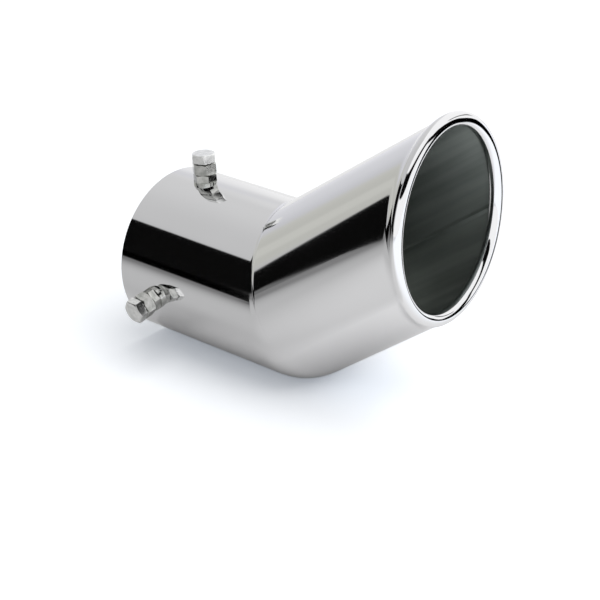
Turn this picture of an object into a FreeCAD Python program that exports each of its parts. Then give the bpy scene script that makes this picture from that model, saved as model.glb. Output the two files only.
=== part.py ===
"""Angled exhaust tip: a clamp-on inlet sleeve, an outlet pipe welded to it at an angle,
a slash-cut mouth with a rolled lip, and three clamp bolts with lock nuts and weld nuts.

All lengths are in millimetres and all angles in degrees. The origin is the centre of the
inlet's open end. +X runs along the inlet's axis towards the bend, and +Z is up with the tip
lying as it is photographed: on its sleeve and on the head of its far bolt.
The pieces are drawn upright, with the bend in the XZ plane, and leaned over at the end.
"""
import FreeCAD, Part
import math
import os

V = FreeCAD.Vector

# Pipes: sleeve and outlet are the same tube
tube_outer_radius = 38.0
wall = 1.5
inlet_length = 78.1
outlet_length = 80.4
bend_angle = 36.8
bend_outer_radius = 28.0
bend_inner_radius = 4.5
inlet_edge_break = 0.4

# Clamp bore: the stretch of the sleeve that slips over the tail pipe is sized a little wider
clamp_bore_depth = 60.0
clamp_bore_play = 0.4
clamp_bore_taper = 3.0

# Mouth: the slash cut leans back on the outside of the bend, and its edge is rolled inwards
slash_angle = 31.9
lip_radius = 3.1
lip_proud = 0.8
lip_sheet = 1.4
lip_curl_end = 250.0
lip_flare_radius = 3.0
lip_flare_bite = 0.1
lip_root_share = 0.9

# Clamp bolts: angles are measured round the inlet from the top of the bend towards the viewer,
# and skews, as the nuts were welded on, along the sleeve and back round it
bolt_station = 21.5
bolt_angles = {"top": 23.0, "near": 118.0, "far": 246.0}
bolt_skews = {
    "top": {"along": -2.8, "round": 4.9},
    "near": {"along": -2.3, "round": -1.8},
    "far": {"along": 0.0, "round": 0.0},
}
bolt_diameter = 6.0
bolt_hex = 10.0
bolt_head_height = 4.0
bolt_washer_face = 0.3
bolt_tip_chamfer = 0.8
bolt_tip_setback = 0.3
bolt_play = 0.05
bolt_hole_play = 0.5
bolt_head_gap = 0.3

# Lock nuts and weld nuts
lock_nut_hex = 10.0
lock_nut_height = 5.0
lock_nut_gap = 0.05
weld_nut_hex = 9.2
weld_nut_height = 4.8
weld_foot_radius = 5.3
weld_foot_height = 1.2

# Hexagons: how their corners are broken, and how far each is turned about its own bolt
hex_chamfer_angle = 30.0
hex_chamfer_share = 0.96
hex_turns = {
    "top": {"head": 13.0, "lock": 22.0, "weld": 31.0},
    "near": {"head": 0.0, "lock": 52.0, "weld": 20.0},
    "far": {"head": 4.0, "lock": 26.0, "weld": 12.0},
}

# How far a cutting tool reaches past what it cuts
cutter_spare = 3.0

X_AXIS = V(1, 0, 0)
Y_AXIS = V(0, 1, 0)
Z_AXIS = V(0, 0, 1)
ORIGIN = V(0, 0, 0)

# Bend: the mitre plane halves the turn, and each line along the pipe has its own bend radius,
# from the small one in the valley to the large one on the outside
inner_radius = tube_outer_radius - wall
half_turn = math.radians(bend_angle) / 2
bend_mean_radius = (bend_outer_radius + bend_inner_radius) / 2
bend_radius_rise = (bend_outer_radius - bend_inner_radius) / 2
mitre_centre = X_AXIS * inlet_length
mitre_out = V(math.tan(half_turn), 0, -1)
inlet_out = V(0, 0, -1)
outlet_axis = V(math.cos(2 * half_turn), 0, math.sin(2 * half_turn))
outlet_out = V(math.sin(2 * half_turn), 0, -math.cos(2 * half_turn))
reach = inlet_length + outlet_length + 4 * tube_outer_radius

# Mouth plane, and the ellipse that the middle of the rolled lip follows
slash = math.radians(slash_angle)
mouth_centre = mitre_centre + outlet_axis * outlet_length
mouth_normal = outlet_axis * math.cos(slash) + outlet_out * math.sin(slash)
lip_centre_radius = tube_outer_radius + lip_proud - lip_radius

# Bolt stack: heights above the sleeve's outer face, along the bolt
lock_nut_foot = weld_nut_height + lock_nut_gap
head_foot = lock_nut_foot + lock_nut_height + bolt_head_gap
head_top = head_foot + bolt_head_height
bolt_tip = bolt_tip_setback + clamp_bore_play - wall
bolt_radius = bolt_diameter / 2
nut_bore_radius = bolt_radius + bolt_play
sleeve_hole_radius = bolt_radius + bolt_hole_play

# Lean: the far bolt is turned past straight down until the rim of its head reaches the floor
head_reach = tube_outer_radius + head_top
head_rim = bolt_hex / 2 * hex_chamfer_share
far_turn = math.atan2(head_rim, head_reach) + math.acos(tube_outer_radius / math.hypot(head_rim, head_reach))
lean = bolt_angles["far"] - 180 - math.degrees(far_turn)


def polar(radius, angle):
    """Point at an angle in degrees, as a pair of numbers."""
    return radius * math.cos(math.radians(angle)), radius * math.sin(math.radians(angle))


def bend_surface(radius, radius_rise):
    """Exact surface of the bend: a circle of arcs, each with its own radius and turn centre."""
    rise = radius_rise / radius
    ring = [(1, 0), (1, 1), (0, 1), (-1, 1), (-1, 0), (-1, -1), (0, -1), (1, -1), (1, 0)]
    poles = []
    weights = []
    for across, side in ring:
        out = radius * across
        arc_radius = bend_mean_radius + rise * out
        corner = mitre_centre + mitre_out * out + Y_AXIS * (radius * side)
        turn_centre = corner - mitre_out * arc_radius
        poles.append([turn_centre + inlet_out * arc_radius, corner, turn_centre + outlet_out * arc_radius])
        weight = math.sqrt(0.5) if across * side else 1.0
        weights.append([weight, weight * math.cos(half_turn), weight])
    surface = Part.BSplineSurface()
    surface.buildFromPolesMultsKnots(
        poles, [3, 2, 2, 2, 3], [3, 3], [0, 1, 2, 3, 4], [0, 1], False, False, 2, 2, weights
    )
    return surface


def bend_end(radius, radius_rise, across, along):
    """Centre and outward normal of the flat end of the bend on one of the pipes."""
    rise = radius_rise / radius
    centre = mitre_centre + (across - mitre_out) * bend_mean_radius
    slope = mitre_out * (1 - rise) + across * rise
    normal = slope.cross(Y_AXIS)
    if normal.dot(along) < 0:
        normal = normal * -1
    return centre, normal.normalize()


def beyond(point, normal):
    """Large block that fills everything past a plane."""
    block = Part.makeBox(2 * reach, 2 * reach, 2 * reach, V(-reach, -reach, 0))
    block.Placement = FreeCAD.Placement(point, FreeCAD.Rotation(Z_AXIS, normal))
    return block


def bent_rod(radius, radius_rise, start, overrun):
    """Solid rod along both pipes, with the blended bend between them."""
    side = bend_surface(radius, radius_rise).toShape()
    ends = [Part.Face(Part.Wire([edge])) for edge in side.Edges if edge.isClosed()]
    shell = Part.Shell([side] + ends)
    shell.sewShape()
    bend = Part.Solid(shell)
    if bend.Volume < 0:
        bend.reverse()
    inlet_end, inlet_normal = bend_end(radius, radius_rise, inlet_out, X_AXIS * -1)
    outlet_end, outlet_normal = bend_end(radius, radius_rise, outlet_out, outlet_axis)
    inlet = Part.makeCylinder(radius, reach, X_AXIS * start, X_AXIS)
    inlet = inlet.common(beyond(inlet_end, inlet_normal))
    outlet_start = mitre_centre - outlet_axis * tube_outer_radius
    outlet = Part.makeCylinder(radius, tube_outer_radius + outlet_length + overrun, outlet_start, outlet_axis)
    outlet = outlet.common(beyond(outlet_end, outlet_normal))
    return bend.multiFuse([inlet, outlet])


def mouth_frame():
    """Lip spine and the cylinder face that carries it, with the first point and its two directions."""
    carrier = Part.makeCylinder(lip_centre_radius, reach, mitre_centre, outlet_axis)
    carrier = carrier.cut(beyond(mouth_centre, mouth_normal))
    wall_face = [face for face in carrier.Faces if face.Surface.TypeId == "Part::GeomCylinder"][0]
    edge = max(wall_face.Edges, key=lambda item: item.CenterOfMass.dot(outlet_axis) if item.isClosed() else -reach)
    start = edge.valueAt(edge.FirstParameter)
    along_pipe = outlet_axis * (start - mitre_centre).dot(outlet_axis)
    out = (start - mitre_centre - along_pipe).normalize()
    forward = edge.tangentAt(edge.FirstParameter).cross(out)
    if forward.dot(outlet_axis) < 0:
        forward = forward * -1
    return Part.Wire([edge]), wall_face, start, out, forward


def swept_round_mouth(outline):
    """Solid swept round the mouth from an outline of arcs and lines given as (out, forward) pairs."""
    spine, wall_face, start, out, forward = mouth_frame()

    def spot(pair):
        return start + out * pair[0] + forward * pair[1]

    edges = []
    for points in outline:
        places = [spot(pair) for pair in points]
        if len(places) == 2:
            edges.append(Part.LineSegment(*places).toShape())
        else:
            edges.append(Part.Arc(*places).toShape())
    sweep = Part.BRepOffsetAPI.MakePipeShell(spine)
    sweep.setSpineSupport(wall_face)
    sweep.add(Part.Wire(edges), False, False)
    sweep.build()
    sweep.makeSolid()
    return sweep.shape()


def rolled_lip():
    """Curled edge of the mouth, with the small flare that leads into it from the pipe."""
    pipe_out = tube_outer_radius - lip_centre_radius
    flare_out = pipe_out + lip_flare_radius - lip_flare_bite
    flare_back = -math.sqrt((lip_radius + lip_flare_radius) ** 2 - flare_out ** 2)
    flare_angle = math.degrees(math.atan2(flare_back, flare_out))
    curl_radius = lip_radius - lip_sheet
    root_out = pipe_out - wall / 2
    root_angle = -math.degrees(math.acos((pipe_out - wall) / curl_radius)) * lip_root_share
    middle_angle = (lip_curl_end + root_angle) / 2
    bite = (flare_out - lip_flare_radius, flare_back)
    turn_x, turn_y = polar(lip_flare_radius, 180 + flare_angle / 2)
    outline = [
        [polar(lip_radius, flare_angle), polar(lip_radius, middle_angle), polar(lip_radius, lip_curl_end)],
        [polar(lip_radius, lip_curl_end), polar(curl_radius, lip_curl_end)],
        [polar(curl_radius, lip_curl_end), polar(curl_radius, middle_angle), polar(curl_radius, root_angle)],
        [polar(curl_radius, root_angle), (root_out, flare_back)],
        [(root_out, flare_back), bite],
        [bite, (flare_out + turn_x, flare_back + turn_y), polar(lip_radius, flare_angle)],
    ]
    return swept_round_mouth(outline)


def mouth_trim():
    """Tool that trims the pipe where its wall runs into the curl."""
    pipe_in = inner_radius - lip_centre_radius
    curl_radius = lip_radius - lip_sheet
    back = -math.sqrt(curl_radius ** 2 - pipe_in ** 2)
    front = lip_radius + 2 * cutter_spare
    low = pipe_in - cutter_spare
    high = pipe_in + wall + cutter_spare
    corners = [(low, back), (high, back), (high, front), (low, front)]
    sides = [[corner, corners[(number + 1) % 4]] for number, corner in enumerate(corners)]
    return swept_round_mouth(sides)


def hex_prism(across_flats, foot, height, turn, top_chamfer=True, foot_chamfer=False):
    """Upright hexagonal prism with its corners broken by a cone, turned about its own axis."""
    corner_radius = across_flats / math.sqrt(3)
    corners = [V(*polar(corner_radius, turn + 60 * number), foot) for number in range(7)]
    prism = Part.Face(Part.makePolygon(corners)).extrude(Z_AXIS * height)
    flat_radius = across_flats / 2 * hex_chamfer_share
    drop = math.tan(math.radians(hex_chamfer_angle))
    wide = flat_radius + height / drop
    if top_chamfer:
        prism = prism.common(Part.makeCone(wide, flat_radius, height, Z_AXIS * foot, Z_AXIS))
    if foot_chamfer:
        prism = prism.common(Part.makeCone(flat_radius, wide, height, Z_AXIS * foot, Z_AXIS))
    return prism


def stand_on_inlet(shape, position):
    """Move a piece drawn on the sleeve's outer face at the origin to its bolt's place."""
    shape.rotate(ORIGIN, Y_AXIS, bolt_skews[position]["along"])
    shape.rotate(ORIGIN, X_AXIS, -bolt_skews[position]["round"])
    shape.translate(V(bolt_station, 0, tube_outer_radius))
    shape.rotate(ORIGIN, X_AXIS, bolt_angles[position])
    return shape


def clamp_bolt(position):
    """Hexagon bolt with a washer face under its head and a chamfered tip."""
    head = hex_prism(
        bolt_hex, head_foot + bolt_washer_face, bolt_head_height - bolt_washer_face, hex_turns[position]["head"]
    )
    washer_face = Part.makeCylinder(head_rim, bolt_washer_face, Z_AXIS * head_foot, Z_AXIS)
    tip_end = bolt_tip + bolt_tip_chamfer
    shank = Part.makeCylinder(bolt_radius, head_foot - tip_end, Z_AXIS * tip_end, Z_AXIS)
    tip = Part.makeCone(bolt_radius - bolt_tip_chamfer, bolt_radius, bolt_tip_chamfer, Z_AXIS * bolt_tip, Z_AXIS)
    return stand_on_inlet(head.multiFuse([washer_face, shank, tip]), position)


def lock_nut(position):
    """Hexagon nut that locks the bolt against its weld nut."""
    nut = hex_prism(lock_nut_hex, lock_nut_foot, lock_nut_height, hex_turns[position]["lock"], True, True)
    bore = Part.makeCylinder(nut_bore_radius, lock_nut_height, Z_AXIS * lock_nut_foot, Z_AXIS)
    return stand_on_inlet(nut.cut(bore), position)


def weld_nut(position):
    """Hexagon nut on a round foot that is shaped to the sleeve and welded to it."""
    below = -weld_foot_radius
    nut = hex_prism(weld_nut_hex, below, weld_nut_height - below, hex_turns[position]["weld"])
    foot = Part.makeCylinder(weld_foot_radius, weld_foot_height - below, Z_AXIS * below, Z_AXIS)
    bore = Part.makeCylinder(nut_bore_radius, weld_nut_height - below, Z_AXIS * below, Z_AXIS)
    nut = stand_on_inlet(nut.fuse(foot).cut(bore), position)
    sleeve_face = Part.makeCylinder(tube_outer_radius, reach, ORIGIN, X_AXIS)
    return nut.cut(sleeve_face)


def bolt_hole(position):
    """Clearance hole through the sleeve's wall for one bolt."""
    below = wall + cutter_spare
    hole = Part.makeCylinder(sleeve_hole_radius, below + cutter_spare, Z_AXIS * -below, Z_AXIS)
    return stand_on_inlet(hole, position)


def pipes():
    """Sleeve with the bend, and outlet pipe with its rolled lip, parted at the weld."""
    outer = bent_rod(tube_outer_radius, bend_radius_rise, 0, tube_outer_radius)
    inner = bent_rod(inner_radius, bend_radius_rise - wall, -cutter_spare, 2 * tube_outer_radius)
    clamp_radius = inner_radius + clamp_bore_play
    clamp_bore = Part.makeCylinder(clamp_radius, cutter_spare + clamp_bore_depth, X_AXIS * -cutter_spare, X_AXIS)
    taper = Part.makeCone(clamp_radius, inner_radius, clamp_bore_taper, X_AXIS * clamp_bore_depth, X_AXIS)
    tube = outer.cut(inner).cut(clamp_bore.fuse(taper))
    weld_point, weld_normal = bend_end(tube_outer_radius, bend_radius_rise, outlet_out, outlet_axis)
    outlet_side = beyond(weld_point, weld_normal)
    sleeve = tube.cut(outlet_side)
    end_rims = [edge for edge in sleeve.Edges if edge.BoundBox.XMax < inlet_edge_break]
    outer_rim = max(end_rims, key=lambda edge: edge.Length)
    sleeve = sleeve.makeChamfer(inlet_edge_break, [outer_rim])
    for position in bolt_angles:
        sleeve = sleeve.cut(bolt_hole(position))
    mouth_end = beyond(mouth_centre + mouth_normal * (lip_radius + cutter_spare), mouth_normal)
    outlet = tube.common(outlet_side).cut(mouth_end).cut(mouth_trim()).fuse(rolled_lip())
    return sleeve, outlet


def save(name, shape):
    """Lean a finished piece into its resting place and write it to its own file."""
    shape.rotate(ORIGIN, X_AXIS, -lean)
    solids = shape.Solids
    print(f"{name}: {len(solids)} solid, valid {shape.isValid()}, {shape.Volume / 1000:.2f} cm3")
    solids[0].exportStep(f"parts/{name}.step")


os.makedirs("parts", exist_ok=True)
inlet_sleeve, outlet_pipe = pipes()
save("inlet_sleeve", inlet_sleeve)
save("outlet_pipe", outlet_pipe)
for position in bolt_angles:
    save(f"{position}_clamp_bolt", clamp_bolt(position))
    save(f"{position}_lock_nut", lock_nut(position))
    save(f"{position}_weld_nut", weld_nut(position))
print(f"lean {lean:.2f} degrees, head top {head_top:.2f} mm above the sleeve")
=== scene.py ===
"""Looks of an angled exhaust tip: polished pipes, a rolled lip, and clamp bolts on weld nuts.

Lengths are in metres and angles in radians, or in degrees where that is said. The frame is the
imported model's: the origin is the centre of the inlet's open end, +X runs along the inlet and +Z
is up. Shapes are drawn upright, with the bend in the XZ plane, and leaned over about the X axis
at the end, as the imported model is.
"""

import logging
import math
from dataclasses import dataclass, field
from enum import Enum

import bmesh
import bpy
from mathutils import Matrix, Vector


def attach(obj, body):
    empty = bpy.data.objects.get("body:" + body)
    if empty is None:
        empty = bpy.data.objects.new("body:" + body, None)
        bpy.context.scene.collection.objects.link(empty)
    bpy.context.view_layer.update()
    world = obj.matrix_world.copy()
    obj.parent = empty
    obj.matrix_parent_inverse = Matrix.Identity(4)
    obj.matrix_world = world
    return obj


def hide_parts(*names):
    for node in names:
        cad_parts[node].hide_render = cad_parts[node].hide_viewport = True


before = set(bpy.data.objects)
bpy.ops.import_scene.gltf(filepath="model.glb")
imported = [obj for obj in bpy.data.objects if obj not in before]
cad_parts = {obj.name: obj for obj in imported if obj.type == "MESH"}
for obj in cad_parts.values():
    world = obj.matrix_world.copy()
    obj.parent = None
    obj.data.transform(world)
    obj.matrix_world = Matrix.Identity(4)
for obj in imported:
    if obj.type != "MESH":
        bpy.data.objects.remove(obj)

LOG = logging.getLogger("exhaust_tip")
SHELL = "shell"
TAU = math.tau
DEGREES = 180.0 / math.pi
CREASE_ANGLE = math.radians(28)
MERGE_DISTANCE = 1e-6
LINING_SHARE = 0.75
PATTERN_RANGE = (0.25, 0.75)
UNTURNED = (0.0, 0.0, 0.0)
EVEN = (1.0, 1.0, 1.0)
HEXAGON_SIDES = 6.0

# Stations along the bent pipe, which the sections of both pipes name.
OPEN_END = 0.0
BEND_START = 1.0
BEND_END = 2.0
LIP = 3.0


class Number:
    """A number that a node tree works out, with the usual arithmetic."""

    def __init__(self, tree: bpy.types.NodeTree, socket: bpy.types.NodeSocket) -> None:
        """Keep the tree and the output socket that the number comes from."""
        self.tree = tree
        self.socket = socket

    def _math(self, operation: str, *others: "Number | float") -> "Number":
        """Add a math node.

        Args:
            operation: The node's operation, by its identifier.
            others: What goes into the node's other inputs.

        Returns:
            The node's result.
        """
        node = self.tree.nodes.new("ShaderNodeMath")
        node.operation = operation
        self.tree.links.new(self.socket, node.inputs[0])
        for place, other in enumerate(others, 1):
            feed(self.tree, node.inputs[place], other)
        return Number(self.tree, node.outputs[0])

    def __add__(self, other: "Number | float") -> "Number":
        """Sum."""
        return self._math("ADD", other)

    def __sub__(self, other: "Number | float") -> "Number":
        """Difference."""
        return self._math("SUBTRACT", other)

    def __mul__(self, other: "Number | float") -> "Number":
        """Product."""
        return self._math("MULTIPLY", other)

    def __truediv__(self, other: "Number | float") -> "Number":
        """Quotient."""
        return self._math("DIVIDE", other)

    def __neg__(self) -> "Number":
        """Opposite."""
        return self._math("MULTIPLY", -1.0)

    __radd__ = __add__

    def __rsub__(self, other: float) -> "Number":
        """Plain number less this one."""
        return -self + other

    def sine(self) -> "Number":
        """Sine of an angle."""
        return self._math("SINE")

    def cosine(self) -> "Number":
        """Cosine of an angle."""
        return self._math("COSINE")

    def tangent(self) -> "Number":
        """Tangent of an angle."""
        return self._math("TANGENT")

    def arcsine(self) -> "Number":
        """Angle whose sine this is."""
        return self._math("ARCSINE")

    def bearing(self, other: "Number") -> "Number":
        """Angle, in degrees, of a direction with this part across and the other part ahead."""
        return self._math("ARCTAN2", other) * DEGREES

    def power(self, other: "Number | float") -> "Number":
        """The number raised to another."""
        return self._math("POWER", other)

    def root(self) -> "Number":
        """Square root."""
        return self._math("SQRT")

    def size(self) -> "Number":
        """The number without its sign."""
        return self._math("ABSOLUTE")

    def part(self) -> "Number":
        """What is left past the last whole number."""
        return self._math("FRACT")

    def above(self, level: float) -> "Number":
        """One where the number is greater than the level, and nought elsewhere."""
        return self._math("GREATER_THAN", level)

    def least(self, other: "Number | float") -> "Number":
        """The smaller of two numbers."""
        return self._math("MINIMUM", other)

    def most(self, other: "Number | float") -> "Number":
        """The larger of two numbers."""
        return self._math("MAXIMUM", other)

    def share(self) -> "Number":
        """The number kept from nought to one."""
        return self.most(0.0).least(1.0)

    def ramp(self, low: float, high: float) -> "Number":
        """Smooth rise from nought at the low end to one at the high end.

        Args:
            low: Where the rise starts. It may be above the high end, for a fall.
            high: Where the rise ends.

        Returns:
            The smoothed share.
        """
        straight = ((self - low) / (high - low)).share()
        return straight * straight * (3.0 - straight * 2.0)


def feed(tree: bpy.types.NodeTree, socket: bpy.types.NodeSocket, value: object) -> None:
    """Set a socket, or link it to what a tree works out.

    Args:
        tree: The tree that holds the socket.
        socket: The input to set.
        value: A Number, an output socket, or a plain value.
    """
    if isinstance(value, Number):
        tree.links.new(value.socket, socket)
    elif isinstance(value, bpy.types.NodeSocket):
        tree.links.new(value, socket)
    else:
        socket.default_value = value


class ShapeTree:
    """A Geometry Nodes tree with named inputs, and short ways to add its usual nodes."""

    def __init__(self, name: str) -> None:
        """Make an empty tree with a geometry input and output.

        Args:
            name: The tree's name.
        """
        self.tree = bpy.data.node_groups.new(name, "GeometryNodeTree")
        self.tree.interface.new_socket(name="Geometry", in_out="OUTPUT", socket_type="NodeSocketGeometry")
        self.tree.interface.new_socket(name="Geometry", in_out="INPUT", socket_type="NodeSocketGeometry")
        self.entry = self.tree.nodes.new("NodeGroupInput")
        self.exit = self.tree.nodes.new("NodeGroupOutput")
        self.defaults: dict[str, object] = {}

    def size(self, name: str, value: float) -> Number:
        """Add a named input for a number.

        Args:
            name: The input's name.
            value: What it is set to on the object.

        Returns:
            The input, as a number to work with.
        """
        kind = "NodeSocketInt" if isinstance(value, int) else "NodeSocketFloat"
        item = self.tree.interface.new_socket(name=name, in_out="INPUT", socket_type=kind)
        self.defaults[item.identifier] = value
        return Number(self.tree, self.entry.outputs[name])

    def finish(self, name: str, material: bpy.types.Material) -> bpy.types.NodeSocket:
        """Add a named input for a material.

        Args:
            name: The input's name.
            material: What it is set to on the object.

        Returns:
            The input.
        """
        item = self.tree.interface.new_socket(name=name, in_out="INPUT", socket_type="NodeSocketMaterial")
        self.defaults[item.identifier] = material
        return self.entry.outputs[name]

    def node(self, kind: str, inputs: dict | None = None, **settings: object) -> bpy.types.Node:
        """Add a node.

        Args:
            kind: The node's type.
            inputs: What goes into its inputs, by name.
            settings: Properties to set on it first.

        Returns:
            The new node.
        """
        made = self.tree.nodes.new(kind)
        for name, value in settings.items():
            setattr(made, name, value)
        for name, value in (inputs or {}).items():
            socket = next(item for item in made.inputs if item.name == name and item.enabled)
            feed(self.tree, socket, value)
        return made

    def keep(self, geometry: bpy.types.NodeSocket, name: str, value: object,
             kind: str) -> bpy.types.NodeSocket:
        """Store a named attribute on the points of a geometry.

        Args:
            geometry: The geometry.
            name: The attribute's name.
            value: What each point gets.
            kind: The attribute's data type.

        Returns:
            The geometry with the attribute.
        """
        made = self.node(
            "GeometryNodeStoreNamedAttribute",
            {"Geometry": geometry, "Name": name, "Value": value},
            data_type=kind,
            domain="POINT",
        )
        return made.outputs["Geometry"]

    def recall(self, name: str, kind: str = "FLOAT") -> bpy.types.NodeSocket:
        """Read a named attribute."""
        made = self.node("GeometryNodeInputNamedAttribute", {"Name": name}, data_type=kind)
        return next(item for item in made.outputs if item.name == "Attribute" and item.enabled)

    def parts(self, vector: bpy.types.NodeSocket) -> list[Number]:
        """Three numbers of a vector."""
        made = self.node("ShaderNodeSeparateXYZ", {"Vector": vector})
        return [Number(self.tree, made.outputs[axis]) for axis in "XYZ"]

    def joined(self, *numbers: Number) -> bpy.types.NodeSocket:
        """Vector of three numbers."""
        return self.node("ShaderNodeCombineXYZ", dict(zip("XYZ", numbers))).outputs["Vector"]

    def carried_round(self, points_round: Number) -> bpy.types.NodeSocket:
        """Sweep the section that the object holds round a ring.

        The result keeps each point's place in the section as the attribute section, and its
        turn round the ring, in radians, as the attribute turn.

        Args:
            points_round: How many points the ring has.

        Returns:
            The swept surface.
        """
        place = self.node("GeometryNodeInputPosition").outputs["Position"]
        outline = self.keep(self.entry.outputs["Geometry"], "section", place, "FLOAT_VECTOR")
        profile = self.node("GeometryNodeMeshToCurve", {"Mesh": outline}).outputs["Curve"]
        circle = self.node("GeometryNodeCurvePrimitiveCircle", {"Resolution": points_round}).outputs["Curve"]
        index = Number(self.tree, self.node("GeometryNodeInputIndex").outputs["Index"])
        ring = self.keep(circle, "turn", index * TAU / points_round, "FLOAT")
        swept = self.node("GeometryNodeCurveToMesh", {"Curve": ring, "Profile Curve": profile})
        return swept.outputs["Mesh"]

    def close(self, geometry: bpy.types.NodeSocket, material: bpy.types.NodeSocket,
              lining: bpy.types.NodeSocket | None = None) -> None:
        """End the tree: poles merged, instances made real and materials set.

        Args:
            geometry: What the tree has made.
            material: The finish of all of it.
            lining: The finish of the faces whose attribute inside is one, if there are any.
        """
        merged = self.node(
            "GeometryNodeMergeByDistance", {"Geometry": geometry, "Distance": MERGE_DISTANCE}
        ).outputs["Geometry"]
        real = self.node("GeometryNodeRealizeInstances", {"Geometry": merged}).outputs["Geometry"]
        last = self.node(
            "GeometryNodeSetMaterial", {"Geometry": real, "Material": material}
        ).outputs["Geometry"]
        if lining is not None:
            within = Number(self.tree, self.recall("inside")).above(LINING_SHARE)
            last = self.node(
                "GeometryNodeSetMaterial", {"Geometry": last, "Selection": within, "Material": lining}
            ).outputs["Geometry"]
        feed(self.tree, self.exit.inputs["Geometry"], last)


@dataclass(frozen=True)
class SectionPoint:
    """One corner of a section that a tree carries round a ring, with what the tree reads there.

    The three numbers mean what the tree's own docstring says.
    """

    first: float
    second: float
    third: float
    inside: float = 0.0
    cone: float = 0.0
    seam: float = 0.0


def section_mesh(name: str, points: list[SectionPoint], closed: bool) -> bpy.types.Mesh:
    """Make a line of points into a mesh of edges.

    Args:
        name: The mesh's name.
        points: The section's corners in order.
        closed: Whether the last corner joins the first.

    Returns:
        The mesh, with the attributes inside, cone and seam.
    """
    count = len(points)
    edges = [(number, (number + 1) % count) for number in range(count if closed else count - 1)]
    mesh = bpy.data.meshes.new(name)
    mesh.from_pydata([(point.first, point.second, point.third) for point in points], edges, [])
    for attribute in ("inside", "cone", "seam"):
        values = mesh.attributes.new(attribute, "FLOAT", "POINT")
        values.data.foreach_set("value", [getattr(point, attribute) for point in points])
    return mesh


def shaped(name: str, outline: bpy.types.Mesh, shape: ShapeTree, place: Matrix) -> bpy.types.Object:
    """Run a tree on a section and keep the result as a plain mesh.

    Args:
        name: The new piece's name.
        outline: The section's mesh.
        shape: The tree, with the values of its inputs.
        place: Where the finished mesh goes in the frame.

    Returns:
        The finished piece, with its place in its mesh and its faces outwards.
    """
    source = bpy.data.objects.new(f"{name}_section", outline)
    bpy.context.scene.collection.objects.link(source)
    modifier = source.modifiers.new("shape", "NODES")
    modifier.node_group = shape.tree
    for identifier, value in shape.defaults.items():
        modifier[identifier] = value
    graph = bpy.context.evaluated_depsgraph_get()
    mesh = bpy.data.meshes.new_from_object(source.evaluated_get(graph), depsgraph=graph)
    bpy.data.objects.remove(source)
    for spare in ("section", "turn", "inside", "cone", "seam"):
        if spare in mesh.attributes:
            mesh.attributes.remove(mesh.attributes[spare])
    mesh.transform(place)
    return placed_piece(name, mesh)


def placed_piece(name: str, mesh: bpy.types.Mesh) -> bpy.types.Object:
    """Link a mesh as a smooth piece with crisp edges and outward faces.

    Args:
        name: The piece's name.
        mesh: Its mesh, with its place in it.

    Returns:
        The piece.
    """
    turn_outwards(mesh)
    mesh.shade_smooth()
    mesh.set_sharp_from_angle(angle=CREASE_ANGLE)
    mesh.name = name
    piece = bpy.data.objects.new(name, mesh)
    bpy.context.scene.collection.objects.link(piece)
    return piece


def turn_outwards(mesh: bpy.types.Mesh) -> None:
    """Flip a closed mesh whose faces point inwards.

    Args:
        mesh: The mesh, which is changed.
    """
    work = bmesh.new()
    work.from_mesh(mesh)
    if work.calc_volume(signed=True) < 0:
        bmesh.ops.reverse_faces(work, faces=work.faces)
    work.to_mesh(mesh)
    work.free()


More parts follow.
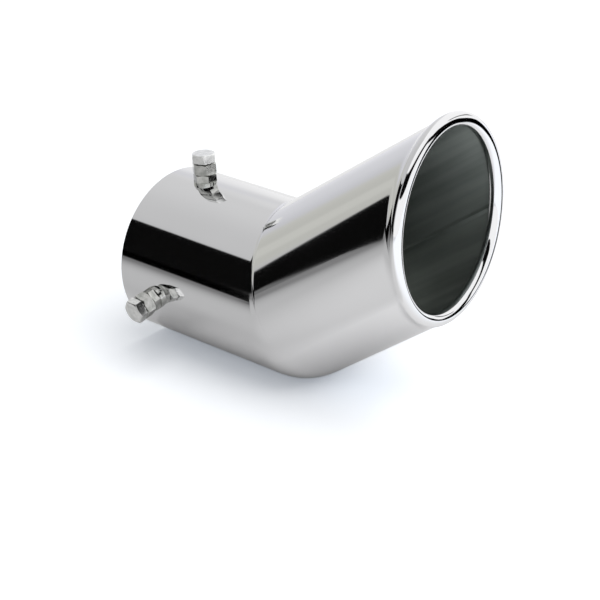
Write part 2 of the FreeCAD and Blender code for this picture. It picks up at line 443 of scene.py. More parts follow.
class MaterialTree:
    """A material's node tree, with short ways to add what the finishes share."""

    def __init__(self, name: str) -> None:
        """Make a material with a Principled shader.

        Args:
            name: The material's name.
        """
        self.material = bpy.data.materials.new(name)
        self.material.use_nodes = True
        self.tree = self.material.node_tree
        self.shader = next(node for node in self.tree.nodes if node.type == "BSDF_PRINCIPLED")

    def set(self, **sockets: object) -> None:
        """Set the shader's sockets, with underscores for the spaces in their names."""
        for name, value in sockets.items():
            feed(self.tree, self.shader.inputs[name.replace("_", " ")], value)

    def place(self, stretch: tuple[float, ...] = EVEN,
              turn: tuple[float, ...] = UNTURNED) -> bpy.types.NodeSocket:
        """Object coordinates, turned and then stretched.

        Args:
            stretch: How many times finer a pattern is along each axis.
            turn: How far it is turned about each axis.

        Returns:
            The coordinates.
        """
        source = self.tree.nodes.new("ShaderNodeTexCoord")
        mapping = self.tree.nodes.new("ShaderNodeMapping")
        mapping.inputs["Scale"].default_value = stretch
        turned = self.tree.nodes.new("ShaderNodeVectorRotate")
        turned.rotation_type = "EULER_XYZ"
        turned.inputs["Rotation"].default_value = turn
        self.tree.links.new(source.outputs["Object"], turned.inputs["Vector"])
        self.tree.links.new(turned.outputs["Vector"], mapping.inputs["Vector"])
        return mapping.outputs["Vector"]

    def noise(self, place: bpy.types.NodeSocket, fineness: float, detail: float = 3.0) -> Number:
        """Soft uneven pattern from nought to one.

        Args:
            place: The coordinates it follows.
            fineness: How many of its patches there are to a metre.
            detail: How much finer structure it has.

        Returns:
            The pattern.
        """
        node = self.tree.nodes.new("ShaderNodeTexNoise")
        node.inputs["Scale"].default_value = fineness
        node.inputs["Detail"].default_value = detail
        self.tree.links.new(place, node.inputs["Vector"])
        return Number(self.tree, node.outputs["Fac"])

    def shade(self, share: Number, dark: tuple[float, ...],
              light: tuple[float, ...]) -> bpy.types.NodeSocket:
        """Colour between a dark and a light one.

        Args:
            share: How much of the light one there is.
            dark: The colour at nought.
            light: The colour at one.

        Returns:
            The colour.
        """
        node = self.tree.nodes.new("ShaderNodeMix")
        node.data_type = "RGBA"
        feed(self.tree, node.inputs["Factor"], share)
        colours = [item for item in node.inputs if item.type == "RGBA"]
        colours[0].default_value = (*dark, 1.0)
        colours[1].default_value = (*light, 1.0)
        return next(item for item in node.outputs if item.type == "RGBA")

    def relief(self, height: Number, depth: float) -> bpy.types.NodeSocket:
        """Bump of a given depth.

        Args:
            height: The pattern, from nought to one.
            depth: How high one stands above nought, in metres.

        Returns:
            The bent normal.
        """
        node = self.tree.nodes.new("ShaderNodeBump")
        node.inputs["Distance"].default_value = depth
        feed(self.tree, node.inputs["Height"], height)
        return node.outputs["Normal"]


@dataclass(frozen=True)
class MirrorSteel:
    """Polished stainless steel, with the faint haze and lines that the polishing wheel leaves."""

    name: str
    colour: tuple[float, float, float] = (0.80, 0.80, 0.81)
    dull_share: float = 0.97
    roughness: float = 0.045
    haze: float = 0.03
    haze_fineness: float = 55.0
    haze_stretch: tuple[float, float, float] = (0.6, 1.0, 1.0)
    line_depth: float = 0.0000008
    line_fineness: float = 900.0
    line_stretch: tuple[float, float, float] = (0.02, 1.0, 1.0)
    turn: tuple[float, float, float] = UNTURNED

    def material(self) -> bpy.types.Material:
        """Build the material.

        Returns:
            The material.
        """
        made = MaterialTree(self.name)
        lines = made.noise(made.place(self.line_stretch, self.turn), self.line_fineness)
        cloud = made.noise(made.place(self.haze_stretch, self.turn), self.haze_fineness)
        dull_colour = tuple(self.dull_share * part for part in self.colour)
        made.set(
            Base_Color=made.shade(cloud, dull_colour, self.colour),
            Metallic=1.0,
            Roughness=cloud * self.haze + self.roughness,
            Normal=made.relief(lines, self.line_depth),
        )
        return made.material


@dataclass(frozen=True)
class DullBore:
    """Unpolished inside of the pipe: dull grey mill finish with streaks along it."""

    name: str
    dark: tuple[float, float, float] = (0.17, 0.19, 0.18)
    light: tuple[float, float, float] = (0.33, 0.36, 0.34)
    metallic: float = 0.85
    roughness: float = 0.42
    wear: float = 0.15
    streak_share: float = 0.55
    streak_fineness: float = 170.0
    streak_stretch: tuple[float, float, float] = (0.03, 1.0, 1.0)
    streak_depth: float = 0.00002
    patch_fineness: float = 45.0
    patch_stretch: tuple[float, float, float] = (0.35, 1.0, 1.0)
    turn: tuple[float, float, float] = UNTURNED

    def material(self) -> bpy.types.Material:
        """Build the material.

        Returns:
            The material.
        """
        made = MaterialTree(self.name)
        streaks = made.noise(made.place(self.streak_stretch, self.turn), self.streak_fineness, 4.0)
        patches = made.noise(made.place(self.patch_stretch, self.turn), self.patch_fineness)
        mixed = streaks * self.streak_share + patches * (1.0 - self.streak_share)
        mixed = mixed.ramp(*PATTERN_RANGE)
        made.set(
            Base_Color=made.shade(mixed, self.dark, self.light),
            Metallic=self.metallic,
            Roughness=mixed * self.wear + self.roughness,
            Normal=made.relief(streaks, self.streak_depth),
        )
        return made.material


@dataclass(frozen=True)
class ZincPlate:
    """Bright zinc on the fasteners: slightly duller than the pipes, with fine wear."""

    name: str
    dark: tuple[float, float, float] = (0.40, 0.41, 0.39)
    light: tuple[float, float, float] = (0.64, 0.64, 0.62)
    roughness: float = 0.08
    wear: float = 0.08
    cloud_fineness: float = 420.0
    grain_fineness: float = 2600.0
    grain_depth: float = 0.0000015

    def material(self) -> bpy.types.Material:
        """Build the material.

        Returns:
            The material.
        """
        made = MaterialTree(self.name)
        cloud = made.noise(made.place(), self.cloud_fineness, 4.0)
        grain = made.noise(made.place(), self.grain_fineness, 2.0)
        made.set(
            Base_Color=made.shade(cloud.ramp(*PATTERN_RANGE), self.dark, self.light),
            Metallic=1.0,
            Roughness=cloud * self.wear + self.roughness,
            Normal=made.relief(grain, self.grain_depth),
        )
        return made.material


class Position(Enum):
    """Places of the clamp bolts round the inlet."""

    TOP = "top"
    NEAR = "near"
    FAR = "far"


@dataclass(frozen=True)
class PipeSizes:
    """Sizes of the sleeve, the bend and the outlet pipe."""

    outer_radius: float = 0.0380
    wall: float = 0.0015
    inlet_length: float = 0.0781
    outlet_length: float = 0.0804
    bend_angle: float = math.radians(36.8)
    bend_outer_radius: float = 0.0280
    bend_inner_radius: float = 0.0045
    edge_break: float = 0.0004
    bend_side_radius: float = 0.0015
    bend_sharpness: float = 4.0
    clamp_bore_depth: float = 0.0600
    clamp_bore_play: float = 0.0004
    clamp_bore_taper: float = 0.0030
    joint_groove: float = 0.00010
    joint_groove_share: float = 0.0022
    joint_groove_turn_share: float = 0.07
    tube_seam_turn: float = math.radians(98.6)
    tube_seam_half_width: float = math.radians(2.4)
    tube_seam_height: float = 0.00055
    slash_angle: float = math.radians(31.9)
    lip_radius: float = 0.0031
    lip_proud: float = 0.0008
    lip_sheet: float = 0.0014
    lip_curl_end: float = math.radians(250.0)
    lip_flare_radius: float = 0.0090
    lean: float = math.radians(17.26)

    @property
    def bore_radius(self) -> float:
        """Inner radius of the tube."""
        return self.outer_radius - self.wall

    @property
    def lip_centre_radius(self) -> float:
        """Distance from the pipe's axis to the middle of the rolled lip."""
        return self.outer_radius + self.lip_proud - self.lip_radius

    @property
    def leaned(self) -> Matrix:
        """Turn that lays the upright tip down on its sleeve and its far bolt."""
        return Matrix.Rotation(-self.lean, 4, "X")


def arc(centre: tuple[float, float], radius: float, start: float, end: float,
        steps: int) -> list[tuple[float, float]]:
    """Points on an arc, both ends included.

    Args:
        centre: The arc's centre.
        radius: Its radius.
        start: Angle of its first point.
        end: Angle of its last point.
        steps: How many stretches it is cut into.

    Returns:
        The points.
    """
    angles = [start + (end - start) * step / steps for step in range(steps + 1)]
    return [(centre[0] + radius * math.cos(angle), centre[1] + radius * math.sin(angle)) for angle in angles]


@dataclass
class Pipes:
    """Inlet sleeve with the bend, and outlet pipe with its rolled lip."""

    sizes: PipeSizes = field(default_factory=PipeSizes)
    points_round: int = 360
    straight_rows: int = 60
    bend_rows: int = 40
    inner_rows: int = 24
    flare_rows: int = 18
    bead_rows: int = 44
    curl_rows: int = 20

    def tree(self, name: str, finish: bpy.types.Material, lining: bpy.types.Material) -> ShapeTree:
        """Tree that carries a section round the bent pipe.

        A section point holds a radius, a station and a distance. The station is a number from
        OPEN_END to LIP. Before the bend the distance is the one from the open end, where the
        station is OPEN_END. Past it the distance is the one forward of the lip's middle, where
        the station is LIP.

        Args:
            name: The tree's name.
            finish: Material of the outside.
            lining: Material of the inside.

        Returns:
            The tree.
        """
        sizes = self.sizes
        shape = ShapeTree(name)
        inlet_length = shape.size("Inlet Length", sizes.inlet_length)
        outlet_length = shape.size("Outlet Length", sizes.outlet_length)
        outer_radius = shape.size("Outer Radius", sizes.outer_radius)
        bend_angle = shape.size("Bend Angle", sizes.bend_angle)
        bend_outer = shape.size("Bend Outer Radius", sizes.bend_outer_radius)
        bend_inner = shape.size("Bend Inner Radius", sizes.bend_inner_radius)
        bend_side = shape.size("Bend Side Radius", sizes.bend_side_radius)
        sharpness = shape.size("Bend Sharpness", sizes.bend_sharpness)
        groove = shape.size("Joint Groove Depth", sizes.joint_groove)
        seam_turn = shape.size("Tube Seam Turn", sizes.tube_seam_turn)
        seam_height = shape.size("Tube Seam Height", sizes.tube_seam_height)
        lip_centre = shape.size("Lip Centre Radius", sizes.lip_centre_radius)
        slash_angle = shape.size("Slash Angle", sizes.slash_angle)
        points_round = shape.size("Points Round", self.points_round)
        outside = shape.finish("Outside", finish)
        bore = shape.finish("Inside", lining)

        surface = shape.carried_round(points_round)
        wall_radius, station, distance = shape.parts(shape.recall("section", "FLOAT_VECTOR"))
        turn = Number(shape.tree, shape.recall("turn"))
        underside = (turn.cosine() + 1.0) / 2.0
        seam = Number(shape.tree, shape.recall("seam"))
        inside = Number(shape.tree, shape.recall("inside"))

        # The wall's radius, with the groove at the joint and the tube's own weld seam inside.
        past = station.above(BEND_END)
        bump = (turn - seam_turn).size().ramp(sizes.tube_seam_half_width, 0.0) * past
        radius = wall_radius - groove * seam * (1.0 - underside) - seam_height * bump * inside

        # The sleeve and its bend: straight, then an arc whose radius changes round the pipe.
        arc_radius = bend_side + (bend_outer - bend_side) * underside.power(sharpness)
        arc_radius = arc_radius + (bend_inner - bend_side) * (1.0 - underside).power(sharpness)
        centre_down = outer_radius * turn.cosine() - arc_radius
        arc_radius = arc_radius + (radius - outer_radius) * turn.cosine()
        half_slope = (bend_angle / 2.0).tangent()
        centre_along = inlet_length + half_slope * centre_down
        bend_turn = bend_angle * (station - BEND_START).share()
        bend_along = centre_along + arc_radius * bend_turn.sine()
        bend_down = centre_down + arc_radius * bend_turn.cosine()
        inlet_share = station.share()
        first_along = distance * (1.0 - inlet_share) + bend_along * inlet_share

        # The outlet: straight from the bend's end to a lip whose ring is tilted.
        outlet_share = (station - BEND_END).share()
        slope = slash_angle.tangent()
        slant = slope * turn.sine()
        slant_length = (slant * slant + 1.0).root()
        lip_along = outlet_length - lip_centre * slope * turn.cosine() + distance / slant_length
        pipe_along = lip_along * outlet_share - half_slope * centre_down * (1.0 - outlet_share)
        pipe_turn = turn - distance * slant / slant_length / lip_centre * outlet_share
        pipe_out = radius * pipe_turn.cosine()
        second_along = inlet_length + bend_angle.cosine() * pipe_along + bend_angle.sine() * pipe_out
        second_down = bend_angle.cosine() * pipe_out - bend_angle.sine() * pipe_along

        # Each section point goes with the pipe that its station belongs to.
        before = 1.0 - past
        place = shape.joined(
            first_along * before + second_along * past,
            radius * (turn.sine() * before + pipe_turn.sine() * past),
            -(bend_down * before + second_down * past),
        )
        moved = shape.node("GeometryNodeSetPosition", {"Geometry": surface, "Position": place})
        shape.close(moved.outputs["Geometry"], outside, bore)
        return shape

    def sleeve_section(self) -> list[SectionPoint]:
        """Wall of the sleeve and the bend, from the open end's rim out, along and back inside.

        Returns:
            The corners of its closed section.
        """
        sizes = self.sizes
        outer, inner = sizes.outer_radius, sizes.bore_radius
        clamp = inner + sizes.clamp_bore_play
        points = [SectionPoint(outer - sizes.edge_break, OPEN_END, 0.0)]
        for row in range(self.straight_rows + 1):
            points.append(SectionPoint(outer, row / self.straight_rows, sizes.edge_break))
        bend_share = 1.0 - sizes.joint_groove_turn_share
        for row in range(1, self.bend_rows + 1):
            points.append(SectionPoint(outer, BEND_START + bend_share * row / self.bend_rows, 0.0))
        points.append(SectionPoint(outer, BEND_END, 0.0, seam=1.0))
        for row in range(self.inner_rows + 1):
            points.append(SectionPoint(inner, BEND_END - row / self.inner_rows, 0.0, inside=1.0))
        taper_end = sizes.clamp_bore_depth + sizes.clamp_bore_taper
        for row in range(1, self.inner_rows + 1):
            station = BEND_START - row / self.inner_rows
            points.append(SectionPoint(inner, station, taper_end, inside=1.0))
        for row in range(self.inner_rows + 1):
            depth = sizes.clamp_bore_depth * (1.0 - row / self.inner_rows)
            points.append(SectionPoint(clamp, OPEN_END, depth, inside=1.0))
        return points

    def outlet_section(self) -> list[SectionPoint]:
        """Wall of the outlet pipe, round the flare and the rolled lip and back inside.

        Returns:
            The corners of its closed section.
        """
        sizes = self.sizes
        middle = sizes.lip_centre_radius
        pipe_out = sizes.outer_radius - middle
        bore_out = sizes.bore_radius - middle
        flare_out = pipe_out + sizes.lip_flare_radius
        flare_back = -math.sqrt((sizes.lip_radius + sizes.lip_flare_radius) ** 2 - flare_out ** 2)
        flare_angle = math.atan2(flare_back, flare_out)
        curl_radius = sizes.lip_radius - sizes.lip_sheet
        root_angle = -math.acos(bore_out / curl_radius)
        root_back = curl_radius * math.sin(root_angle)

        outer = sizes.outer_radius
        points = [SectionPoint(outer, BEND_END, flare_back, seam=1.0)]
        points.append(SectionPoint(outer, BEND_END + sizes.joint_groove_share, flare_back))
        for row in range(1, self.straight_rows):
            points.append(SectionPoint(outer, BEND_END + row / self.straight_rows, flare_back))
        flare_centre = (flare_out, flare_back)
        flare_end = math.pi + flare_angle
        flare = arc(flare_centre, sizes.lip_flare_radius, math.pi, flare_end, self.flare_rows)
        bead = arc((0.0, 0.0), sizes.lip_radius, flare_angle, sizes.lip_curl_end, self.bead_rows)
        curl = arc((0.0, 0.0), curl_radius, sizes.lip_curl_end, root_angle, self.curl_rows)
        for out, forward in flare[:-1] + bead:
            points.append(SectionPoint(middle + out, LIP, forward))
        for out, forward in curl:
            points.append(SectionPoint(middle + out, LIP, forward, inside=1.0))
        for row in range(1, self.inner_rows + 1):
            station = LIP - row / self.inner_rows
            points.append(SectionPoint(sizes.bore_radius, station, root_back, inside=1.0))
        return points

    def build(
        self, finishes: dict[str, tuple[bpy.types.Material, bpy.types.Material]]
    ) -> list[bpy.types.Object]:
        """Make both pipes.

        Args:
            finishes: Materials of the outside and the inside, by the piece's name.

        Returns:
            The pieces.
        """
        made: list[bpy.types.Object] = []
        for name, node, section in (
            ("polished_sleeve", "inlet_sleeve", self.sleeve_section()),
            ("polished_outlet", "outlet_pipe", self.outlet_section()),
        ):
            shape = self.tree(f"{name}_shape", *finishes[name])
            piece = shaped(name, section_mesh(name, section, True), shape, self.sizes.leaned)
            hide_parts(node)
            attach(piece, SHELL)
            made.append(piece)
        return made


@dataclass(frozen=True)
class BoltSizes:
    """Sizes of one clamp bolt with its lock nut and weld nut. Heights are above the sleeve's surface."""

    diameter: float = 0.006
    pitch: float = 0.001
    thread_depth: float = 0.00058
    thread_root: float = 0.88
    thread_crest: float = 0.12
    thread_turns_ahead: float = 100.0
    head_flats: float = 0.010
    head_height: float = 0.004
    washer_face: float = 0.0003
    tip_chamfer: float = 0.0008
    tip_height: float = -0.0005
    lock_flats: float = 0.010
    lock_height: float = 0.005
    lock_gap: float = 0.00005
    head_gap: float = 0.0003
    weld_flats: float = 0.0092
    weld_height: float = 0.0048
    foot_radius: float = 0.0053
    foot_height: float = 0.0012
    foot_depth: float = 0.00085
    bore_play: float = 0.00005
    cone_slope: float = math.tan(math.radians(30.0))
    flat_share: float = 0.96

    @property
    def lock_foot(self) -> float:
        """Height of the lock nut's underside."""
        return self.weld_height + self.lock_gap

    @property
    def head_foot(self) -> float:
        """Height of the head's underside."""
        return self.lock_foot + self.lock_height + self.head_gap


@dataclass(frozen=True)
class BoltPlace:
    """Where a bolt stands round the sleeve, how it leans and how its hexagons are turned, in degrees."""

    position: Position
    angle: float
    skew_along: float
    skew_round: float
    head_turn: float
    lock_turn: float
    weld_turn: float

    def matrix(self, station: float, pipe: PipeSizes) -> Matrix:
        """Place of a stack drawn upright on the origin.

        Args:
            station: Distance from the inlet's open end.
            pipe: The pipes' sizes.

        Returns:
            The matrix, with the tip's lean.
        """
        skew = Matrix.Rotation(-math.radians(self.skew_round), 4, "X")
        skew = skew @ Matrix.Rotation(math.radians(self.skew_along), 4, "Y")
        stand = Matrix.Translation((station, 0.0, pipe.outer_radius))
        return pipe.leaned @ Matrix.Rotation(math.radians(self.angle), 4, "X") @ stand @ skew


@dataclass
class ClampStack:
    """One clamp bolt with its lock nut and the nut that is welded to the sleeve."""

    place: BoltPlace
    sizes: BoltSizes = field(default_factory=BoltSizes)
    pipe: PipeSizes = field(default_factory=PipeSizes)
    station: float = 0.0215
    points_round: int = 96
    thread_points: int = 60
    thread_rows: int = 12

    def hexagon_tree(self, name: str, flats: float, turn: float, finish: bpy.types.Material) -> ShapeTree:
        """Tree that carries a section round an axis and makes its marked points hexagonal.

        A section point holds a radius, a share of the hexagon and a height. Its attribute cone
        says which end's corners a cone breaks there: one for the top, minus one for the foot.

        Args:
            name: The tree's name.
            flats: The hexagon's width across its flats.
            turn: How far the hexagon is turned, in degrees.
            finish: The material.

        Returns:
            The tree.
        """
        shape = ShapeTree(name)
        half_flats = shape.size("Half Across Flats", flats / 2)
        hexagon_turn = shape.size("Hexagon Turn", math.radians(turn))
        flat_share = shape.size("Flat Share", self.sizes.flat_share)
        cone_slope = shape.size("Cone Slope", self.sizes.cone_slope)
        points_round = shape.size("Points Round", self.points_round)
        plating = shape.finish("Plating", finish)

        surface = shape.carried_round(points_round)
        radius, share, height = shape.parts(shape.recall("section", "FLOAT_VECTOR"))
        turn_round = Number(shape.tree, shape.recall("turn"))
        cone = Number(shape.tree, shape.recall("cone"))
        # Share of a side from its middle, and the hexagon's reach there.
        side = (turn_round * HEXAGON_SIDES / TAU).part() - 0.5
        hexagon = half_flats / (side * (TAU / HEXAGON_SIDES)).cosine()
        reach = radius * (1.0 - share) + hexagon * share
        # The cone takes most off the corners and nothing off the middle of a side.
        drop = (hexagon - half_flats * flat_share).most(0.0) * cone_slope * share
        angle = turn_round + hexagon_turn
        place = shape.joined(reach * angle.cosine(), reach * angle.sine(), height - drop * cone)
        moved = shape.node("GeometryNodeSetPosition", {"Geometry": surface, "Position": place})
        shape.close(moved.outputs["Geometry"], plating)
        return shape

    def thread_tree(self, name: str, finish: bpy.types.Material) -> ShapeTree:
        """Tree that cuts a thread into a shank, with its ends run out.

        A section point holds a radius, the share of the thread that is cut there, and a height.

        Args:
            name: The tree's name.
            finish: The material.

        Returns:
            The tree.
        """
        sizes = self.sizes
        shape = ShapeTree(name)
        pitch = shape.size("Pitch", sizes.pitch)
        crest = shape.size("Crest Radius", sizes.diameter / 2)
        depth = shape.size("Thread Depth", sizes.thread_depth)
        tip = shape.size("Tip Height", sizes.tip_height)
        chamfer = shape.size("Tip Chamfer", sizes.tip_chamfer)
        points_round = shape.size("Points Round", self.thread_points)
        plating = shape.finish("Plating", finish)

        surface = shape.carried_round(points_round)
        radius, cut, height = shape.parts(shape.recall("section", "FLOAT_VECTOR"))
        turn = Number(shape.tree, shape.recall("turn"))
        # The phase runs from nought to one for each turn of the thread.
        phase = (height / pitch - turn / TAU + sizes.thread_turns_ahead).part()
        groove = (phase * 2.0 - 1.0).size().ramp(sizes.thread_crest, sizes.thread_root)
        threaded = crest - depth * groove
        # At the tip a chamfer limits the reach.
        tapered = crest - chamfer + height - tip
        reach = (threaded * cut + radius * (1.0 - cut)).least(tapered).least(radius)
        place = shape.joined(reach * turn.cosine(), reach * turn.sine(), height)
        moved = shape.node("GeometryNodeSetPosition", {"Geometry": surface, "Position": place})
        shape.close(moved.outputs["Geometry"], plating)
        return shape

    def head_section(self) -> list[SectionPoint]:
        """Hexagon head and its washer face.

        Returns:
            The corners of its half section.
        """
        sizes = self.sizes
        top = sizes.head_foot + sizes.head_height
        rim = sizes.head_flats / 2 * sizes.flat_share
        return [
            SectionPoint(0.0, 0.0, sizes.head_foot),
            SectionPoint(rim, 0.0, sizes.head_foot),
            SectionPoint(rim, 0.0, sizes.head_foot + sizes.washer_face),
            SectionPoint(0.0, 1.0, sizes.head_foot + sizes.washer_face),
            SectionPoint(0.0, 1.0, top, cone=1.0),
            SectionPoint(rim, 0.0, top),
            SectionPoint(0.0, 0.0, top),
        ]

    def shank_section(self) -> list[SectionPoint]:
        """Threaded shank, from its tip into the head.

        Returns:
            The corners of its half section.
        """
        sizes = self.sizes
        crest = sizes.diameter / 2
        end = sizes.head_foot + sizes.washer_face
        rows = round((end - sizes.tip_height) / sizes.pitch * self.thread_rows)
        points = [SectionPoint(0.0, 0.0, sizes.tip_height)]
        for row in range(rows + 1):
            points.append(SectionPoint(crest, 1.0, sizes.tip_height + (end - sizes.tip_height) * row / rows))
        points.append(SectionPoint(0.0, 0.0, end))
        return points

    def lock_section(self) -> list[SectionPoint]:
        """Lock nut.

        Returns:
            The corners of its closed section.
        """
        sizes = self.sizes
        bore = sizes.diameter / 2 + sizes.bore_play
        foot, top = sizes.lock_foot, sizes.lock_foot + sizes.lock_height
        rim = sizes.lock_flats / 2 * sizes.flat_share
        return [
            SectionPoint(bore, 0.0, foot),
            SectionPoint(rim, 0.0, foot),
            SectionPoint(0.0, 1.0, foot, cone=-1.0),
            SectionPoint(0.0, 1.0, top, cone=1.0),
            SectionPoint(rim, 0.0, top),
            SectionPoint(bore, 0.0, top),
        ]

    def weld_section(self) -> list[SectionPoint]:
        """Weld nut, down into the sleeve's wall.

        Returns:
            The corners of its closed section.
        """
        sizes = self.sizes
        bore = sizes.diameter / 2 + sizes.bore_play
        rim = sizes.weld_flats / 2 * sizes.flat_share
        return [
            SectionPoint(bore, 0.0, -sizes.foot_depth),
            SectionPoint(sizes.foot_radius, 0.0, -sizes.foot_depth),
            SectionPoint(sizes.foot_radius, 0.0, sizes.foot_height),
            SectionPoint(0.0, 1.0, sizes.foot_height),
            SectionPoint(0.0, 1.0, sizes.weld_height, cone=1.0),
            SectionPoint(rim, 0.0, sizes.weld_height),
            SectionPoint(bore, 0.0, sizes.weld_height),
        ]

    def build(self, plating: bpy.types.Material,
              head_plating: bpy.types.Material) -> list[bpy.types.Object]:
        """Make the bolt and both nuts.

        Args:
            plating: Material of the shank and the nuts.
            head_plating: Material of the head, which is brighter.

        Returns:
            The pieces.
        """
        where = self.place.position.value
        bolt, bolt_body = f"{where}_clamp_bolt", f"{where}_bolt"
        sizes = self.sizes
        matrix = self.place.matrix(self.station, self.pipe)
        head = self.hexagon_tree("bolt_head", sizes.head_flats, self.place.head_turn, head_plating)
        lock = self.hexagon_tree("lock_nut", sizes.lock_flats, self.place.lock_turn, plating)
        weld = self.hexagon_tree("weld_nut", sizes.weld_flats, self.place.weld_turn, plating)
        thread = self.thread_tree("threaded_shank", plating)
        made: list[bpy.types.Object] = []
        for name, node, body, section, closed, shape in (
            (f"{where}_hexagon_head", bolt, bolt_body, self.head_section(), False, head),
            (f"{where}_threaded_shank", bolt, bolt_body, self.shank_section(), False, thread),
            (f"{where}_plated_lock_nut", f"{where}_lock_nut", SHELL, self.lock_section(), True, lock),
            (f"{where}_plated_weld_nut", f"{where}_weld_nut", SHELL, self.weld_section(), True, weld),
        ):
            piece = shaped(name, section_mesh(name, section, closed), shape, matrix)
            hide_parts(node)
            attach(piece, body)
            made.append(piece)
        return made


@dataclass(frozen=True)
class Rise:
    """Smooth rise from nought at one place to its full height at another, or a fall the other way."""

    start: float
    end: float
    height: float = 1.0

    def at(self, place: Number) -> Number:
        """Height at a place."""
        return place.ramp(self.start, self.end) * self.height


@dataclass(frozen=True)
class Band:
    """Full height between two places and nought outside them, with a soft step at each."""

    low: float
    high: float
    step: float
    height: float = 1.0

    def at(self, place: Number) -> Number:
        """Height at a place.

        Args:
            place: The place.

        Returns:
            The height.
        """
        half = self.step / 2
        rise = place.ramp(self.low - half, self.low + half)
        fall = place.ramp(self.high + half, self.high - half)
        return rise * fall * self.height


@dataclass(frozen=True)
class SlantedEdge:
    """Soft edge of a dark opening, which leans by so many degrees for each degree along it.

    The start is where the edge begins to darken and the end is where it is fully dark.
    """

    lean: float
    start: float
    end: float

    def within(self, along: Number, across: Number) -> Number:
        """One inside the edge and nought outside it."""
        return (across - along * self.lean).ramp(self.start, self.end)


@dataclass(frozen=True)
class PaintedFloorShading:
    """Painted light and shade on the floor that only the polished steel sees: darker to the left, and dark
    past its edges.

    Places are in metres. Bearings are in degrees, from +Y towards +X.
    """

    plain_level: float = 0.64
    right_step: Rise = Rise(0.02, 0.13, 0.20)
    far_right_step: Rise = Rise(0.15, 0.25, 0.20)
    back_step: Rise = Rise(-0.060, -0.019, 0.36)
    shade_from: tuple[float, float] = (0.045, -0.030)
    shade_way: tuple[float, float] = (-0.656, -0.755)
    shade: Rise = Rise(0.10, 0.90, 0.36)
    bend_foot: tuple[float, float] = (0.080, -0.035)
    side_start: Rise = Rise(-142.8, -142.3)
    side_end: Rise = Rise(-60.0, -66.0)
    side_fade: Rise = Rise(-0.10, -0.25, 0.60)
    left_edge: Rise = Rise(-0.285, -0.322)
    left_slant: float = 1.4
    left_slant_from: float = -0.130
    left_slant_reach: float = 0.045
    end_start: Rise = Rise(-160.0, -157.0)
    end_bearing: float = -148.0
    end_edge: Rise = Rise(9.0, 10.6)
    rear_foot: tuple[float, float] = (0.142, 0.020)
    rear_side: Band = Band(22.0, 48.0, 3.0)
    rear_edge: Rise = Rise(0.13, 0.17)

    def level(self, x: Number, y: Number) -> Number:
        """How bright the floor is painted at a place, as the steel sees it.

        Args:
            x: Place along the inlet.
            y: Place across it.

        Returns:
            The share of the floor's full brightness.
        """
        # Painted level of the floor: lighter to the right and behind, with painted shade towards the left.
        painted_level = self.right_step.at(x) + self.far_right_step.at(x) + self.back_step.at(y) + self.plain_level
        leftwards = (x - self.shade_from[0]) * self.shade_way[0]
        leftwards = leftwards + (y - self.shade_from[1]) * self.shade_way[1]

        # Painted shade past its left edge, with the corner cut off at a slant.
        bearing = (x - self.bend_foot[0]).bearing(y - self.bend_foot[1])
        beside = self.side_start.at(bearing) * self.side_end.at(bearing)
        slant = (x - self.left_slant_from).most(0.0).least(self.left_slant_reach) * self.left_slant
        left_corner = beside * self.left_edge.at(y - slant)

        # Painted shade past its left end too, and past its rear edge behind the mouth.
        past_end = (bearing - self.end_bearing).least(0.0) * y
        left_end = self.end_start.at(bearing) * self.end_edge.at(past_end)
        rear_x, rear_y = x - self.rear_foot[0], y - self.rear_foot[1]
        rear_corner = self.rear_side.at(rear_x.bearing(rear_y)) * self.rear_edge.at(rear_y)
        dark = left_corner.most(left_end).most(rear_corner)

        # Towards its left edge the painted level fades, as painted shade.
        fading = 1.0 - beside * self.side_fade.at(y)
        return (painted_level - self.shade.at(leftwards)).share() * fading * (1.0 - dark)


